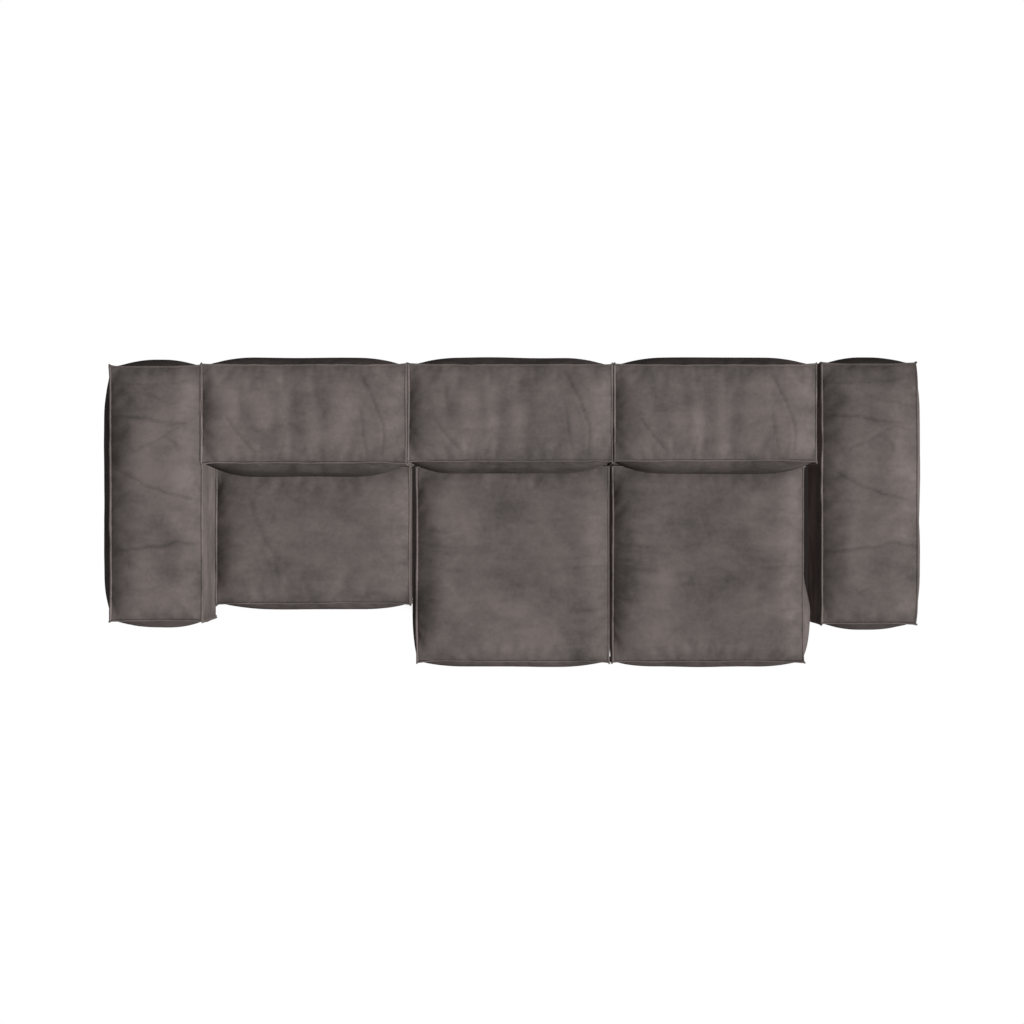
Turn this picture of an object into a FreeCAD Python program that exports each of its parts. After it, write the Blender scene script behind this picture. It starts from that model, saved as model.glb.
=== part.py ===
import FreeCAD, Part
import os

# Modular three-seater sofa of upholstered blocks: two arms, three backs and three seats.
# Millimetres. X runs from the left arm to the right arm as one looks at the sofa from its front,
# Y runs from the front to the rear, and Z is up from the floor.

# Heights above the floor, those of the blocks at their top seams; arms and backs stand level
foot_height = 40
seat_height = 420
top_height = 660

# Plan sizes between seams
arm_width = 311
arm_length = 860
back_width = 677
back_depth = 327
short_seat_depth = 462
deep_seat_depth = 660

# Gaps between the seams of neighbouring blocks
arm_gap = 8
back_gap = 10
seat_gap = 15
seat_side_gap = 36
seat_rear_gap = 11

# The backs stand this much nearer to the left arm than to the right one
back_row_shift = 6

# Upholstery: crowns of the tops, bulges of the free sides, drawn seams, the fold above the seats
seat_crown = 25
arm_crown = 18
back_crown = 20
outer_side_bulge = 34
rear_bulge = 26
arm_front_bulge = 28
seat_front_bulge = 25
seat_flank_bulge = 20
back_front_bulge = 38
seam_draw = 4
shoulder_height = 60
fold_height = 15
fold_roll_height = 60
cover_thickness = 10

# Foam round and over the timber frames
side_foam_thickness = 30
seat_foam_thickness = 165
arm_foam_thickness = 55
back_foam_thickness = 60

# Timber frames
board_thickness = 22
rail_height = 85
post_size = 44
panel_thickness = 6
cloth_thickness = 1.5

# Elastic webbing
strap_width = 60
strap_thickness = 2
seat_straps_across = 5
short_seat_straps_across = 4
seat_straps_along = 5
back_straps_upright = 4
back_straps_across = 5

# Feet
foot_top_width = 56
foot_bottom_width = 46
foot_inset = 62

# Steel connectors under the blocks
tongue_width = 45
tongue_thickness = 5
tongue_hold_length = 150
tongue_reach_length = 100
tongue_nose_length = 12
socket_thickness = 3
socket_flange_width = 18
socket_length = 105
slide_clearance = 0.5
link_width = 45
link_thickness = 5
link_length = 170

# Places that follow from the sizes above
row_half = (3 * back_width + 2 * back_gap) / 2
arm_inner_x = row_half + arm_gap
arm_outer_x = arm_inner_x + arm_width
back_pitch = back_width + back_gap
seat_width = (2 * arm_inner_x - 2 * seat_side_gap - 2 * seat_gap) / 3
seat_pitch = seat_width + seat_gap
tongue_offset = seat_width / 4
overall_depth = rear_bulge + back_depth + seat_rear_gap + deep_seat_depth + seat_front_bulge
rear_y = overall_depth / 2 - rear_bulge
back_front_y = rear_y - back_depth
seat_rear_y = back_front_y - seat_rear_gap
fold_z = seat_height + fold_height
cloth_top = foot_height + cloth_thickness


def vector(x, y, z):
    return FreeCAD.Vector(x, y, z)


def box(x0, x1, y0, y1, z0, z1):
    return Part.makeBox(x1 - x0, y1 - y0, z1 - z0, vector(x0, y0, z0))


def inset(plan, amount):
    x0, x1, y0, y1 = plan
    return (x0 + amount, x1 - amount, y0 + amount, y1 - amount)


def bowed(start, end, bow):
    """A straight edge, or an arc that leaves its chord by bow on the right of its direction, level in Z."""
    if bow == 0:
        return Part.makeLine(start, end)
    along = end.sub(start)
    outward = vector(along.y, -along.x, 0).normalize()
    middle = start.add(end).multiply(0.5).add(outward.multiply(bow))
    return Part.Arc(start, middle, end).toShape()


def outline(plan, bows, z):
    """Closed level section of a block: front, right, rear and left edges, each bowed out by its amount."""
    x0, x1, y0, y1 = plan
    corners = [vector(x0, y0, z), vector(x1, y0, z), vector(x1, y1, z), vector(x0, y1, z)]
    edges = []
    for i in range(4):
        edges.append(bowed(corners[i], corners[(i + 1) % 4], bows[i]))
    return Part.Wire(edges)


def side_faces(plan, levels):
    """Side panels through level sections, given as pairs of height and the four bows there."""
    wires = [outline(plan, bows, z) for z, bows in levels]
    return Part.makeLoft(wires, False, True).Faces


def crown_face(plan, front_draw, rear_draw, z, crown):
    """Top panel: a loft from the front seam over a crowned arc to the rear seam."""
    x0, x1, y0, y1 = plan
    middle_y = (y0 + y1) / 2
    front = bowed(vector(x0, y0, z), vector(x1, y0, z), -front_draw)
    rear = bowed(vector(x0, y1, z), vector(x1, y1, z), rear_draw)
    top = vector((x0 + x1) / 2, middle_y, z + crown)
    over = Part.Arc(vector(x0, middle_y, z), top, vector(x1, middle_y, z)).toShape()
    return Part.makeLoft([Part.Wire([edge]) for edge in (front, over, rear)], False, False).Faces


def soft_form(plan, top, crown, bows, overhang=0):
    """Closed outer form of a block. Free sides bow out below a rolled shoulder, and the front and rear
    top seams are drawn in there; a side with no bow is pressed flat by its neighbour. An overhang is the
    bow of the front above the fold that the seat presses into it."""
    full_bows = (overhang or bows[0],) + bows[1:]
    front_draw = seam_draw if full_bows[0] else 0
    rear_draw = seam_draw if full_bows[2] else 0
    levels = [(foot_height, bows)]
    if overhang:
        levels += [(fold_z, bows), (fold_z + fold_roll_height, full_bows)]
    levels += [(top - shoulder_height, full_bows), (top, (-front_draw, 0, -rear_draw, 0))]
    faces = side_faces(plan, levels) + crown_face(plan, front_draw, rear_draw, top, crown)
    faces.append(Part.Face(outline(plan, bows, foot_height)))
    shell = Part.makeCompound(faces)
    shell.sewShape(0.01)
    solid = Part.makeSolid(shell.Shells[0])
    if solid.Volume < 0:
        solid.reverse()
    return solid


def cover(form, plan, top):
    """Leather cover with its wadding: the outer form less the space that the foam fills."""
    return form.cut(box(*inset(plan, cover_thickness), foot_height, top - cover_thickness))


def foam(plan, top, foam_over):
    """Foam cap: sides and top round the frame, open underneath."""
    core = box(*inset(plan, cover_thickness), cloth_top, top - cover_thickness)
    return core.cut(box(*frame_plan(plan), cloth_top, top - cover_thickness - foam_over))


def frame_plan(plan):
    return inset(plan, cover_thickness + side_foam_thickness)


def dust_cloth(plan):
    return box(*inset(plan, cover_thickness), foot_height, cloth_top)


def foot(x, y):
    """Block foot that narrows towards the floor."""
    rings = []
    for z, half in ((0, foot_bottom_width / 2), (foot_height, foot_top_width / 2)):
        rings.append([
            vector(x - half, y - half, z),
            vector(x + half, y - half, z),
            vector(x + half, y + half, z),
            vector(x - half, y + half, z),
        ])
    low, high = rings
    faces = [low, high]
    for i in range(4):
        j = (i + 1) % 4
        faces.append([low[i], low[j], high[j], high[i]])
    shell = Part.makeShell([Part.Face(Part.makePolygon(points + points[:1])) for points in faces])
    return Part.makeSolid(shell)


def feet(plan):
    """Four feet, set in from the seams."""
    x0, x1, y0, y1 = inset(plan, foot_inset)
    return Part.makeCompound([foot(x, y) for x in (x0, x1) for y in (y0, y1)])


def post_boxes(plan, bottom, top):
    """Four corner posts inside a frame's plan."""
    x0, x1, y0, y1 = plan
    posts = []
    for x in (x0, x1 - post_size):
        for y in (y0, y1 - post_size):
            posts.append(box(x, x + post_size, y, y + post_size, bottom, top))
    return posts


def spread(start, end, count):
    """Centres of straps that share a span evenly, with half a step left at each end."""
    step = (end - start) / count
    return [start + (i + 0.5) * step for i in range(count)]


def seat_frame(plan, top):
    """Box of boards on edge with corner posts and a cross board, ready for webbing on its top."""
    x0, x1, y0, y1 = frame_plan(plan)
    inside = inset(frame_plan(plan), board_thickness)
    ix0, ix1, iy0, iy1 = inside
    pieces = [
        box(x0, x1, y0, iy0, cloth_top, top),
        box(x0, x1, iy1, y1, cloth_top, top),
        box(x0, ix0, iy0, iy1, cloth_top, top),
        box(ix1, x1, iy0, iy1, cloth_top, top),
    ]
    pieces += post_boxes(inside, cloth_top, top)
    left = (x0 + x1 - board_thickness) / 2
    pieces.append(box(left, left + board_thickness, iy0, iy1, cloth_top, cloth_top + rail_height))
    return Part.makeCompound(pieces)


def seat_webbing(plan, bottom, across):
    """Straps from front to rear on the frame, and straps from side to side over them."""
    x0, x1, y0, y1 = frame_plan(plan)
    half = strap_width / 2
    straps = []
    for x in spread(x0, x1, seat_straps_along):
        straps.append(box(x - half, x + half, y0, y1, bottom, bottom + strap_thickness))
    for y in spread(y0, y1, across):
        straps.append(box(x0, x1, y - half, y + half, bottom + strap_thickness, bottom + 2 * strap_thickness))
    return Part.makeCompound(straps)


def standing_frame(plan, top):
    """Four posts joined by boards at the bottom and at the top of each side."""
    x0, x1, y0, y1 = plan
    pieces = post_boxes(plan, cloth_top, top)
    for z in (cloth_top, top - rail_height):
        for y in (y0, y1 - board_thickness):
            pieces.append(box(x0 + post_size, x1 - post_size, y, y + board_thickness, z, z + rail_height))
        for x in (x0, x1 - board_thickness):
            pieces.append(box(x, x + board_thickness, y0 + post_size, y1 - post_size, z, z + rail_height))
    return Part.makeCompound(pieces)


def back_webbing(plan, top):
    """Upright straps on the front of the frame, and straps from side to side over them."""
    x0, x1, y0, y1 = frame_plan(plan)
    half = strap_width / 2
    straps = []
    for x in spread(x0 + post_size, x1 - post_size, back_straps_upright):
        straps.append(box(x - half, x + half, y0 + strap_thickness, y0 + 2 * strap_thickness, cloth_top, top))
    for z in spread(cloth_top, top, back_straps_across):
        straps.append(box(x0, x1, y0, y0 + strap_thickness, z - half, z + half))
    return Part.makeCompound(straps)


def tongue(x):
    """Flat steel bar under the rear of a seat, with a tapered nose that enters the socket of a back."""
    half = tongue_width / 2
    rear = seat_rear_y + tongue_reach_length
    front = seat_rear_y - tongue_hold_length
    points = [
        (x - half, front),
        (x + half, front),
        (x + half, rear - tongue_nose_length),
        (x + half - tongue_nose_length, rear),
        (x - half + tongue_nose_length, rear),
        (x - half, rear - tongue_nose_length),
    ]
    bottom = foot_height - tongue_thickness
    face = Part.Face(Part.makePolygon([vector(px, py, bottom) for px, py in points + points[:1]]))
    return face.extrude(vector(0, 0, tongue_thickness))


def socket(x):
    """Folded steel channel under the front of a back, open at both ends, that takes a tongue."""
    inner = tongue_width / 2 + slide_clearance
    outer = inner + socket_thickness
    edge = outer + socket_flange_width
    ceiling = foot_height
    flange = foot_height - socket_thickness
    inside = foot_height - tongue_thickness - slide_clearance
    outside = inside - socket_thickness
    right = [
        (inner, ceiling),
        (edge, ceiling),
        (edge, flange),
        (outer, flange),
        (outer, outside),
    ]
    left = [(-px, pz) for px, pz in reversed(right)]
    profile = [(inner, inside)] + right + left + [(-inner, inside)]
    points = [vector(x + px, back_front_y, pz) for px, pz in profile + profile[:1]]
    return Part.Face(Part.makePolygon(points)).extrude(vector(0, socket_length, 0))


def link_plate(x, y):
    """Flat steel bar with round ends, bolted under two blocks that stand side by side."""
    half = link_width / 2
    reach = link_length / 2 - half
    bottom = foot_height - link_thickness
    front_left = vector(x - reach, y - half, bottom)
    front_right = vector(x + reach, y - half, bottom)
    rear_right = vector(x + reach, y + half, bottom)
    rear_left = vector(x - reach, y + half, bottom)
    right_end = Part.Arc(front_right, vector(x + reach + half, y, bottom), rear_right).toShape()
    left_end = Part.Arc(rear_left, vector(x - reach - half, y, bottom), front_left).toShape()
    edges = [
        Part.makeLine(front_left, front_right),
        right_end,
        Part.makeLine(rear_right, rear_left),
        left_end,
    ]
    return Part.Face(Part.Wire(edges)).extrude(vector(0, 0, link_thickness))


def arm_block(name, side):
    """Arm block; side is -1 on the left and 1 on the right."""
    x0, x1 = sorted((side * arm_inner_x, side * arm_outer_x))
    plan = (x0, x1, rear_y - arm_length, rear_y)
    right_bow, left_bow = (outer_side_bulge, 0) if side > 0 else (0, outer_side_bulge)
    form = soft_form(plan, top_height, arm_crown, (arm_front_bulge, right_bow, rear_bulge, left_bow))
    frame_top = top_height - cover_thickness - arm_foam_thickness
    fx0, fx1, fy0, fy1 = frame_plan(plan)
    panels = [
        box(fx0, fx0 + panel_thickness, fy0, fy1, cloth_top, frame_top),
        box(fx1 - panel_thickness, fx1, fy0, fy1, cloth_top, frame_top),
    ]
    return {
        name + "_cover": cover(form, plan, top_height),
        name + "_foam": foam(plan, top_height, arm_foam_thickness),
        name + "_panels": Part.makeCompound(panels),
        name + "_frame": standing_frame((fx0 + panel_thickness, fx1 - panel_thickness, fy0, fy1), frame_top),
        name + "_dust_cloth": dust_cloth(plan),
        name + "_feet": feet(plan),
    }


def back_block(name, place):
    """Back block; place is -1, 0 or 1 from left to right."""
    x = place * back_pitch - back_row_shift
    plan = (x - back_width / 2, x + back_width / 2, back_front_y, rear_y)
    form = soft_form(plan, top_height, back_crown, (0, 0, rear_bulge, 0), overhang=back_front_bulge)
    frame_top = top_height - cover_thickness - back_foam_thickness
    fx0, fx1, fy0, fy1 = frame_plan(plan)
    sockets = [socket(place * seat_pitch + shift) for shift in (-tongue_offset, tongue_offset)]
    return {
        name + "_cover": cover(form, plan, top_height),
        name + "_foam": foam(plan, top_height, back_foam_thickness),
        name + "_webbing": back_webbing(plan, frame_top),
        name + "_frame": standing_frame((fx0, fx1, fy0 + 2 * strap_thickness, fy1), frame_top),
        name + "_dust_cloth": dust_cloth(plan),
        name + "_feet": feet(plan),
        name + "_sockets": Part.makeCompound(sockets),
    }


def seat_block(name, place, depth, straps_across):
    """Seat block; place is -1, 0 or 1 from left to right."""
    x = place * seat_pitch
    plan = (x - seat_width / 2, x + seat_width / 2, seat_rear_y - depth, seat_rear_y)
    right_bow = seat_flank_bulge if place == 1 else 0
    left_bow = seat_flank_bulge if place == -1 else 0
    form = soft_form(plan, seat_height, seat_crown, (seat_front_bulge, right_bow, 0, left_bow))
    webbing_top = seat_height - cover_thickness - seat_foam_thickness
    frame_top = webbing_top - 2 * strap_thickness
    tongues = [tongue(x + shift) for shift in (-tongue_offset, tongue_offset)]
    return {
        name + "_cover": cover(form, plan, seat_height),
        name + "_foam": foam(plan, seat_height, seat_foam_thickness),
        name + "_webbing": seat_webbing(plan, frame_top, straps_across),
        name + "_frame": seat_frame(plan, frame_top),
        name + "_dust_cloth": dust_cloth(plan),
        name + "_feet": feet(plan),
        name + "_tongues": Part.makeCompound(tongues),
    }


def link_plates():
    """Plates that hold the backs to each other and the end backs to the arms, in line across the sofa."""
    y = rear_y - back_depth / 2
    between_backs = [link_plate(side * back_pitch / 2 - back_row_shift, y) for side in (-1, 1)]
    beside_arms = [link_plate(side * (row_half + arm_gap / 2), y) for side in (-1, 1)]
    return {
        "back_link_plates": Part.makeCompound(between_backs),
        "arm_link_plates": Part.makeCompound(beside_arms),
    }


nodes = {}
nodes.update(arm_block("arm_left", -1))
nodes.update(arm_block("arm_right", 1))
for place, word in ((-1, "left"), (0, "middle"), (1, "right")):
    nodes.update(back_block("back_" + word, place))
nodes.update(seat_block("seat_left", -1, short_seat_depth, short_seat_straps_across))
nodes.update(seat_block("seat_middle", 0, deep_seat_depth, seat_straps_across))
nodes.update(seat_block("seat_right", 1, deep_seat_depth, seat_straps_across))
nodes.update(link_plates())

os.makedirs("parts", exist_ok=True)
for node, shape in nodes.items():
    shape.exportStep("parts/" + node + ".step")
    print(node, len(shape.Solids), "solids", round(shape.Volume / 1e6, 3), "litres", shape.isValid())
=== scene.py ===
# %% [markdown]
# # A three-seater sofa made of soft blocks
# The sofa is a set of free-standing blocks: two arms, three backs and three seats. Each block is a box
# frame wrapped in foam and covered in brushed leather, with a raised flange along every seam. The CAD
# frame gives the place and size of every piece. Blender gives the covers their stuffed form, their
# seams and stitches, and a finish to everything.

# %% Load the CAD frame
import math
import time
from collections import namedtuple

import bpy
import numpy as np
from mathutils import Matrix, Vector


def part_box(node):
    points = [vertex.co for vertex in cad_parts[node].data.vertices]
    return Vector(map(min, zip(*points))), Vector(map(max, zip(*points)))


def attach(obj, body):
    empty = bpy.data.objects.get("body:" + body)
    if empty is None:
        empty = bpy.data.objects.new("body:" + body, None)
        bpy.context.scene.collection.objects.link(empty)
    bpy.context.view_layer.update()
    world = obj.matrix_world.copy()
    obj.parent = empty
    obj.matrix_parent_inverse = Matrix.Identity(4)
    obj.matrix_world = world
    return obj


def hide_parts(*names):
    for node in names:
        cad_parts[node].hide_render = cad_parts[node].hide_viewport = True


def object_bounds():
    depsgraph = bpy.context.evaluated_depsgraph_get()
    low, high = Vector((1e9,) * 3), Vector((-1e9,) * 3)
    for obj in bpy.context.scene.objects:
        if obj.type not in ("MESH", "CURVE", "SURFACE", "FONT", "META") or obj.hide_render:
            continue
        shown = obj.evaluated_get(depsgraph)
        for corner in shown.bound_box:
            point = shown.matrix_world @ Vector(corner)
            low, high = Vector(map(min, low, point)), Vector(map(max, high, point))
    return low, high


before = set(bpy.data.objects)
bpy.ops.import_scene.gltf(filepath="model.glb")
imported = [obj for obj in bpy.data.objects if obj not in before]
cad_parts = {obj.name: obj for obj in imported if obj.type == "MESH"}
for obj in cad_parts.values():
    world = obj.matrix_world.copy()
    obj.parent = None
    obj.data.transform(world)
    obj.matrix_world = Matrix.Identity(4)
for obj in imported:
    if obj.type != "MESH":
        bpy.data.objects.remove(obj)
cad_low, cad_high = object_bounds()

scene = bpy.context.scene
scene.view_settings.view_transform = "Standard"


def rounded(values):
    return [round(v, 3) for v in values]


print("nodes:", len(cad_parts), "box:", rounded(cad_low), rounded(cad_high))

# %% [markdown]
# ## Camera
# The sofa is seen from straight above, so far away that its sides hardly show. A long lens high over
# the floor gives that view. The height is found from how much smaller the seats look than the backs,
# and the lens from the width of the sofa in the frame.

# %% Camera over the middle of the sofa
wadding = 0.010
top_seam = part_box("back_middle_foam")[1].z + wadding
camera_rise = 13.2
pixels_per_metre = 300.0
frame_pixels = 1024
camera_y = 0.0085


def placed(name, data):
    """A new object in the scene."""
    made = bpy.data.objects.new(name, data)
    scene.collection.objects.link(made)
    return made


camera_data = bpy.data.cameras.new("camera_above")
camera_data.sensor_width = 36.0
camera_data.lens = camera_data.sensor_width * camera_rise * pixels_per_metre / frame_pixels
camera_data.clip_end = 200.0
camera = placed("camera_above", camera_data)
camera.location = (0.0, camera_y, top_seam + camera_rise)
scene.camera = camera
print("lens", round(camera_data.lens, 1), "mm, height", round(camera.location.z, 2), "m")

# %% [markdown]
# ## Light and floor
# The leather is lit from the right side and above, very softly: slopes that face left go dark, but the
# high right arm throws no shadow on the seat beside it. A sun lamp without shadows gives the direction,
# and the world gives the even light that fades in the gaps. The floor is white to the camera. To other
# rays it is a dull grey, so that it doesn't light the sofa from below, and it is dark in the gaps
# between the blocks, where it sees little of the sky.

# %% Lamp and world
key_data = bpy.data.lights.new("window_side", "SUN")
key_data.energy = 4.3
key_data.angle = math.radians(30)
key_data.color = (1.0, 0.985, 0.975)
key_data.use_shadow = False
key = placed("window_side", key_data)
key_direction = np.array([0.78, -0.13, 0.61])
key.rotation_euler = (
    math.acos(key_direction[2] / np.linalg.norm(key_direction)),
    0.0,
    math.atan2(key_direction[1], key_direction[0]) + math.pi / 2,
)


def link(tree, source, target):
    tree.links.new(source, target)


def add_node(tree, kind, **inputs):
    """A node of a tree with its unlinked inputs set by name."""
    made = tree.nodes.new(kind)
    for name, value in inputs.items():
        made.inputs[name.replace("_", " ")].default_value = value
    return made


def combine(tree, operation, first, second):
    """A math node on two values; each is a socket or a number."""
    made = tree.nodes.new("ShaderNodeMath")
    made.operation = operation
    for socket, value in zip(made.inputs, (first, second)):
        if isinstance(value, (int, float)):
            socket.default_value = value
        else:
            link(tree, value, socket)
    return made.outputs[0]


def seen_directly(tree):
    """One for camera, glossy and transmission rays, and zero for the rays that light other things."""
    ray = add_node(tree, "ShaderNodeLightPath").outputs
    seen = combine(tree, "MAXIMUM", ray["Is Camera Ray"], ray["Is Glossy Ray"])
    return combine(tree, "MAXIMUM", seen, ray["Is Transmission Ray"])


def split_by_ray(tree, lighting, seen, output):
    """Ends a tree in one shader for the rays that light other things and in another for what is seen."""
    either = add_node(tree, "ShaderNodeMixShader")
    out = add_node(tree, output)
    link(tree, seen_directly(tree), either.inputs[0])
    link(tree, lighting.outputs[0], either.inputs[1])
    link(tree, seen.outputs[0], either.inputs[2])
    link(tree, either.outputs[0], out.inputs[0])


world = bpy.data.worlds.new("even_light")
scene.world = world
world.use_nodes = True
sky = world.node_tree
sky.nodes.clear()
dim = add_node(sky, "ShaderNodeBackground", Color=(1.0, 0.99, 0.98, 1.0), Strength=0.11)
white = add_node(sky, "ShaderNodeBackground", Color=(1.0, 1.0, 1.0, 1.0), Strength=1.0)
split_by_ray(sky, dim, white, "ShaderNodeOutputWorld")
print("key light from", key_direction.round(2))

# %% Floor
floor_grey = (0.20, 0.20, 0.20, 1.0)
sky_distance = 0.6
# each pair: share of open sky, colour of the floor; the dark stop is painted shadow in the gaps
floor_stops = [(0.17, (0.0240, 0.0205, 0.0195)), (0.28, (1.0, 1.0, 1.0))]


def colour_between(tree, value, stops):
    """A colour ramp over a value; stops are pairs of position and colour."""
    ramp = tree.nodes.new("ShaderNodeValToRGB")
    link(tree, value, ramp.inputs[0])
    points = ramp.color_ramp.elements
    while len(points) < len(stops):
        points.new(0.5)
    for point, (position, colour) in zip(points, stops):
        point.position = position
        point.color = (*colour, 1.0)
    return ramp.outputs[0]


def floor_finish(name, shaded):
    """White to the camera and grey to other rays; a shaded floor goes dark where it sees little sky."""
    made = bpy.data.materials.new(name)
    made.use_nodes = True
    tree = made.node_tree
    tree.nodes.clear()
    grey = add_node(tree, "ShaderNodeBsdfDiffuse", Color=floor_grey)
    glow = add_node(tree, "ShaderNodeEmission", Color=(1.0, 1.0, 1.0, 1.0), Strength=1.0)
    if shaded:
        open_sky = add_node(tree, "ShaderNodeAmbientOcclusion", Distance=sky_distance)
        open_sky.samples = 48
        link(tree, colour_between(tree, open_sky.outputs["AO"], floor_stops), glow.inputs["Color"])
    split_by_ray(tree, grey, glow, "ShaderNodeOutputMaterial")
    return made


floor_reach = 60.0
shadow_margin = 0.10
floor_x = [-floor_reach, cad_low[0] - shadow_margin, cad_high[0] + shadow_margin, floor_reach]
floor_y = [-floor_reach, cad_low[1] - shadow_margin, cad_high[1] + shadow_margin, floor_reach]
floor_points = [(x, y, 0.0) for y in floor_y for x in floor_x]
first_corners = [4 * row + column for row in range(3) for column in range(3)]
under_sofa = 4
floor_mesh = bpy.data.meshes.new("floor")
floor_mesh.from_pydata(floor_points, [], [(a, a + 1, a + 5, a + 4) for a in first_corners])
floor_mesh.materials.append(floor_finish("white_floor", False))
floor_mesh.materials.append(floor_finish("white_floor_by_the_blocks", True))
floor_mesh.polygons[under_sofa].material_index = 1
floor = placed("floor", floor_mesh)
print("floor", 2 * floor_reach, "m across")

# %% [markdown]
# ## Blocks and their seams
# Every block is a box of leather panels sewn together. The seam box, where the panels meet, lies one
# cover thickness outside the foam of the CAD frame. A side with a neighbour is pressed flat, and a free
# side swells. Sides are named as one looks at the sofa from its front.

# %% Seam boxes
block_kinds = {
    "arm_left": "arm", "arm_right": "arm",
    "back_left": "back", "back_middle": "back", "back_right": "back",
    "seat_left": "short_seat", "seat_middle": "deep_seat", "seat_right": "deep_seat",
}
body_of = {block: block if block.startswith("seat") else "base" for block in block_kinds}


def seam_box(block):
    low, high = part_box(block + "_foam")
    cloth_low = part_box(block + "_dust_cloth")[0]
    return (np.array([low.x - wadding, low.y - wadding, cloth_low.z]),
            np.array([high.x + wadding, high.y + wadding, high.z + wadding]))


boxes = {block: seam_box(block) for block in block_kinds}
sizes = {}
for block, (low, high) in boxes.items():
    sizes.setdefault(block_kinds[block], high - low)
for kind, size in sizes.items():
    print(kind, size.round(3))

# %% [markdown]
# ## Panels as a lattice
# A block's cover starts as a box of small squares. The squares are finer beside the seams, where
# leather turns sharply, and the underside keeps only the edge that is folded under and stapled. A
# lattice is chosen over a remesh because its rows run along the seams, so the seams stay crisp and can
# be found again.

# %% Box lattice
panel_step = 0.0125
hem_width = 0.030


def axis_cuts(length):
    near = [0.0, 0.004, 0.010, 0.018]
    inner = length - 2 * near[-1]
    count = max(2, round(inner / panel_step))
    middle = [near[-1] + inner * i / count for i in range(1, count)]
    return np.array(near + middle + [length - d for d in reversed(near)])


def box_lattice(size):
    """Points, faces, seam flags and hem flags of a block's cover, with its low corner at zero."""
    cuts = [axis_cuts(length) for length in size]
    last = [len(c) - 1 for c in cuts]
    number = {}
    points = []

    def point(cell):
        if cell not in number:
            number[cell] = len(points)
            points.append([cuts[axis][cell[axis]] for axis in range(3)])
        return number[cell]

    faces = []
    for axis in range(3):
        u, v = (axis + 1) % 3, (axis + 2) % 3
        for end in (0, 1):
            for i in range(last[u]):
                for j in range(last[v]):
                    if axis == 2 and end == 0:
                        edge_u = min(cuts[u][i], size[u] - cuts[u][i + 1])
                        edge_v = min(cuts[v][j], size[v] - cuts[v][j + 1])
                        if min(edge_u, edge_v) > hem_width:
                            continue
                    corners = []
                    for du, dv in ((0, 0), (1, 0), (1, 1), (0, 1)):
                        cell = [0, 0, 0]
                        cell[axis], cell[u], cell[v] = end * last[axis], i + du, j + dv
                        corners.append(point(tuple(cell)))
                    faces.append(corners if end else corners[::-1])
    cells = np.array(list(number.keys()))
    at_end = (cells == 0) | (cells == np.array(last))
    on_seam = at_end.sum(1) >= 2
    on_hem = cells[:, 2] == 0
    return np.array(points), faces, on_seam, on_hem


lattices = {kind: box_lattice(size) for kind, size in sizes.items()}
for kind, (points, faces, on_seam, on_hem) in lattices.items():
    print(kind, len(points), "points", len(faces), "squares", int(on_seam.sum()), "on seams")

# %% [markdown]
# ## Stuffed form
# Foam under a cover makes each panel rise steeply beside its seam and then run nearly level, between a
# quarter of an ellipse and a parabola. The top rises 20 to 25 mm within a hand's width, and free sides
# swell about 30 mm. This form is where the cloth simulation starts; without it the panels would balloon
# into half spheres.

# %% Panel swell
panel_swell = {
    "arm": {"top": 0.024, "left": 0.030, "right": 0.030, "front": 0.028, "rear": 0.028},
    "back": {"top": 0.021, "left": 0.026, "right": 0.026, "front": 0.034, "rear": 0.029},
    "deep_seat": {"top": 0.026, "left": 0.020, "right": 0.020, "front": 0.022, "rear": 0.020},
}
panel_swell["short_seat"] = panel_swell["deep_seat"]
panel_axes = {"left": (0, 0), "right": (0, 1), "front": (1, 0), "rear": (1, 1), "top": (2, 1)}
top_shoulder, side_shoulder, end_shoulder = 0.105, 0.20, 0.16
shoulder_limit = 0.45
top_roundness, side_roundness = 0.8, 0.9


def rise(distance, reach, roundness):
    """Zero at a seam, one at reach and beyond; roundness 0.5 is a quarter of an ellipse, 1 a parabola."""
    t = np.clip(distance / reach, 0.0, 1.0)
    return np.clip(1.0 - (1.0 - t) ** 2, 0.0, 1.0) ** roundness


def panel_normal(panel):
    axis, end = panel_axes[panel]
    normal = np.zeros(3)
    normal[axis] = 1.0 if end else -1.0
    return normal


def panel_mask(rest, size, panel):
    axis, end = panel_axes[panel]
    return np.abs(rest[:, axis] - end * size[axis]) < 1e-5


def panel_share(rest, size, panel):
    """How far each point of a panel has risen, from zero at its seams to one in its middle."""
    axis, _ = panel_axes[panel]
    share = np.ones(len(rest))
    for other in range(3):
        if other == axis:
            continue
        if panel == "top":
            reach, roundness = top_shoulder, top_roundness
        else:
            reach, roundness = side_shoulder if other == 2 else end_shoulder, side_roundness
        reach = min(reach, shoulder_limit * size[other])
        near, far = rest[:, other], size[other] - rest[:, other]
        share *= rise(near, reach, roundness) * rise(far, reach, roundness)
    return share


def stuffed_form(rest, size, kind, amount=1.0):
    shift = np.zeros_like(rest)
    for panel, swell in panel_swell[kind].items():
        mask = panel_mask(rest, size, panel)
        share = panel_share(rest[mask], size, panel)
        shift[mask] += np.outer(amount * swell * share, panel_normal(panel))
    return rest + shift


print("swell of a seat top", panel_swell["deep_seat"]["top"])

# %% [markdown]
# ## Cloth simulation
# Real leather is cut a little larger than the foam, so it puckers at the seams and ripples between
# them. The four kinds of block are simulated together: seams and hems are pinned, the panels are given
# one or two per cent of slack, and pressure pushes them out. The movement is capped, so that the form
# stays the one that the frame allows. A slight uneven start, from a fixed seed, decides where the
# ripples fall.

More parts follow.
